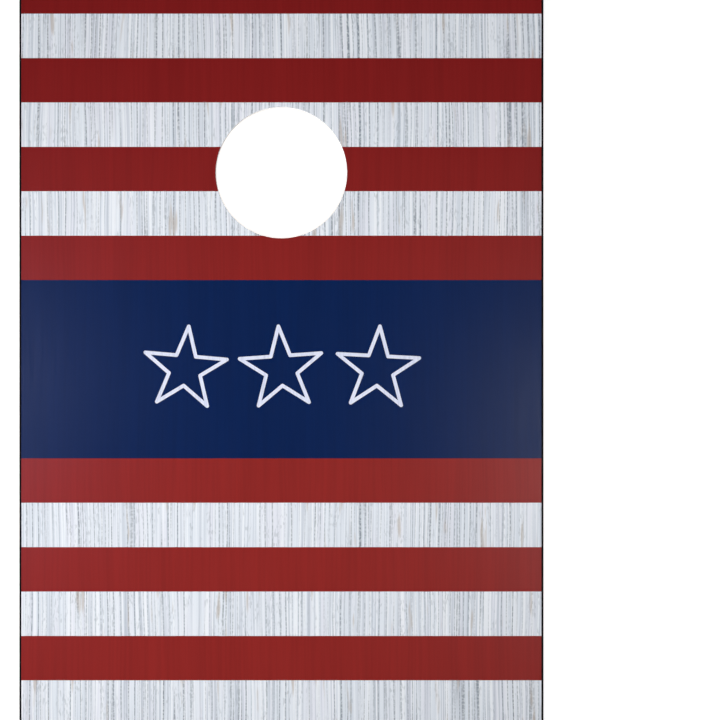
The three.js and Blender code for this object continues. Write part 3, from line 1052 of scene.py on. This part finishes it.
def hub_profile():
    """A wing nut's tapered hub as a closed profile, its seat at 0 and its top at -NUT_HUB."""
    base, neck, chamfer = 8 * MM, 6.2 * MM, 0.5 * MM
    return [
        (NUT_BORE + chamfer, 0),
        (base - 0.4 * MM, 0),
        (base, -0.4 * MM),
        (base, -1.5 * MM),
        (neck + 0.2 * MM, -NUT_HUB * 0.8),
        (neck - 0.3 * MM, -NUT_HUB + 0.4 * MM),
        (neck - 0.9 * MM, -NUT_HUB),
        (NUT_BORE + chamfer, -NUT_HUB),
        (NUT_BORE, -NUT_HUB + chamfer),
        (NUT_BORE, -chamfer),
        (NUT_BORE + chamfer, 0),
    ]


def wing_outline(span, height):
    """One wing's outline as (radius, height above the seat): a swept ear on the hub's side."""
    root = NUT_BORE + 0.7 * MM
    shoulder = NUT_HUB - 1 * MM
    curves = (
        ((root, 1.2 * MM), (span * 0.5, 1.3 * MM), (span * 0.72, 2.6 * MM), (span * 0.86, 6.4 * MM)),
        ((span * 0.86, 6.4 * MM), (span * 1.12, 10.5 * MM), (span * 0.98, height), (span * 0.8, height)),
        ((span * 0.8, height), (span * 0.6, height), (span * 0.56, 9.5 * MM), (root, shoulder)),
    )
    steps = 10
    outline = []
    for curve in curves:
        for i in range(steps):
            t = i / steps
            weights = ((1 - t) ** 3, 3 * t * (1 - t) ** 2, 3 * t * t * (1 - t), t**3)
            outline.append(tuple(sum(w * p[k] for w, p in zip(weights, curve)) for k in (0, 1)))
    outline.append((root, shoulder))
    return outline


def wing(span, height, sign, place):
    """One rounded wing, put where the matrix place says."""
    thickness = 2.4 * MM
    outline = [(-sign * h, radius, -thickness / 2) for radius, h in wing_outline(span, height)]
    bm = extruded(outline, (0, 0, thickness))
    round_edges(bm, 0.7 * MM, sharper_than=60)
    bmesh.ops.transform(bm, matrix=place, verts=bm.verts)
    return bm


def make_wing_nuts():
    """Wing nuts with a tapered hub and two rounded wings."""
    for side, sign in SIDES.items():
        node = f"{side}_wing_nut"
        points = node_points(node)
        seat = max(points, key=lambda point: point.x * sign).x
        tip = max(points, key=lambda point: (point.yz - PIVOT.yz).length)
        turn = math.atan2(tip.z - PIVOT.z, tip.y - PIVOT.y)
        span = (tip.yz - PIVOT.yz).length
        height = max(abs(point.x - seat) for point in points)
        centre = Vector((seat, PIVOT.y, PIVOT.z))
        wings = []
        for half_turn in (0, math.pi):
            place = Matrix.Translation(centre) @ Matrix.Rotation(turn + half_turn, 4, "X")
            wings.append(wing(span, height, sign, place))
        hub = as_mesh(node, turned(hub_profile(), 40, centre, sign))
        mesh = combined(hub, wings, "UNION")
        piece(f"{node}_cast", mesh, ZINC, f"{side}_nut", "zinc_plate", node, along=(1, 0, 0))


# ---------------------------------------------------------------- stage

# Each lamp's place and aim from the middle of the deck in the board's frame, its size, power in
# watts and colour. Key and fill give no gloss. The strips do, along the sides of the satin print.
LAMPS = {
    "key": ((-1.20, -0.885, 1.84), (0.165, 0.21, 0), (0.7, 0.7), 9.35, (1, 1, 1)),
    "fill": ((0.09, 0.01, 3.60), (0, 0, 0), (0.4, 0.4), 16, (1, 1, 1)),
    "strip_left": ((-0.98, -0.20, 3.50), (0, 0, 0), (0.31, 0.82), 1.9, (0.95, 1.0, 1.45)),
    "strip_right": ((0.76, -0.34, 3.50), (0, 0, 0), (0.30, 0.80), 2.35, (1, 1, 1)),
}
KEY_SPREAD = 69  # degrees


def area_light(name, place, aim, size, power, colour):
    """A soft box at a place in the board's frame, aimed at another."""
    data = bpy.data.lights.new(name, "AREA")
    data.shape = "RECTANGLE"
    data.size, data.size_y = size
    data.energy = power
    data.color = colour
    lamp = bpy.data.objects.new(name, data)
    bpy.context.scene.collection.objects.link(lamp)
    start, end = BOARD @ Vector(place), BOARD @ Vector(aim)
    turn = (end - start).to_track_quat("-Z", "Y").to_matrix().to_4x4()
    lamp.matrix_world = Matrix.Translation(start) @ turn
    lamp.visible_camera = False
    return lamp


def make_lamps():
    """A key from the lower left, a fill along the view and two strips for gloss."""
    middle = Vector((0, DECK_MIDDLE, 0))
    lamps = {}
    for name, (place, aim, *look) in LAMPS.items():
        lamps[name] = area_light(name, middle + Vector(place), middle + Vector(aim), *look)
    lamps["key"].data.spread = math.radians(KEY_SPREAD)
    for name in ("key", "fill"):
        lamps[name].visible_glossy = False
        lamps[name].data.cycles.use_multiple_importance_sampling = False


def make_floor():
    """A wide floor that glows a little, so that it comes out white."""
    half = 40
    mesh = bpy.data.meshes.new("floor")
    corners = [(-half, -half, 0), (half, -half, 0), (half, half, 0), (-half, half, 0)]
    mesh.from_pydata(corners, [], [(0, 1, 2, 3)])
    floor = bpy.data.objects.new("floor", mesh)
    bpy.context.scene.collection.objects.link(floor)
    g = Graph("floor_white", roughness=0.9, specular=0.0)
    g.shader.inputs["Base Color"].default_value = (0.85, 0.85, 0.85, 1)
    g.shader.inputs["Emission Color"].default_value = (1, 1, 1, 1)
    g.shader.inputs["Emission Strength"].default_value = 0.86
    mesh.materials.append(g.material)


def make_world():
    """A white world, bright near the horizon and fading to almost black above."""
    world = bpy.data.worlds.new("studio")
    bpy.context.scene.world = world
    world.use_nodes = True
    tree = world.node_tree
    background = tree.nodes["Background"]
    background.inputs["Color"].default_value = (1, 1, 1, 1)
    coordinates = tree.nodes.new("ShaderNodeTexCoord")
    split = tree.nodes.new("ShaderNodeSeparateXYZ")
    fade = tree.nodes.new("ShaderNodeMapRange")
    fade.interpolation_type = "SMOOTHSTEP"
    for key, value in (("From Min", 0.17), ("From Max", 0.35), ("To Min", 0.935), ("To Max", 0.02)):
        fade.inputs[key].default_value = value
    tree.links.new(coordinates.outputs["Generated"], split.inputs[0])
    tree.links.new(split.outputs["Z"], fade.inputs["Value"])
    tree.links.new(fade.outputs["Result"], background.inputs["Strength"])


def make_camera():
    """Square to the deck, its axis a little right of the board's middle and a little above it."""
    view_width = 836.9 * MM
    right, up = 91.4 * MM, 10.7 * MM
    camera = bpy.data.cameras.new("camera")
    camera.lens = 150
    camera.sensor_width = 36
    distance = view_width * camera.lens / camera.sensor_width
    made = bpy.data.objects.new("camera", camera)
    bpy.context.scene.collection.objects.link(made)
    made.matrix_world = BOARD @ Matrix.Translation(Vector((right, DECK_MIDDLE + up, distance)))
    bpy.context.scene.camera = made
    bpy.context.scene.view_settings.view_transform = "Standard"


make_print()
make_deck()
make_planks()
make_side_rails()
make_legs()
make_corner_blocks()
make_screws()
make_pivots()
make_wing_nuts()
make_floor()
make_lamps()
make_world()
make_camera()
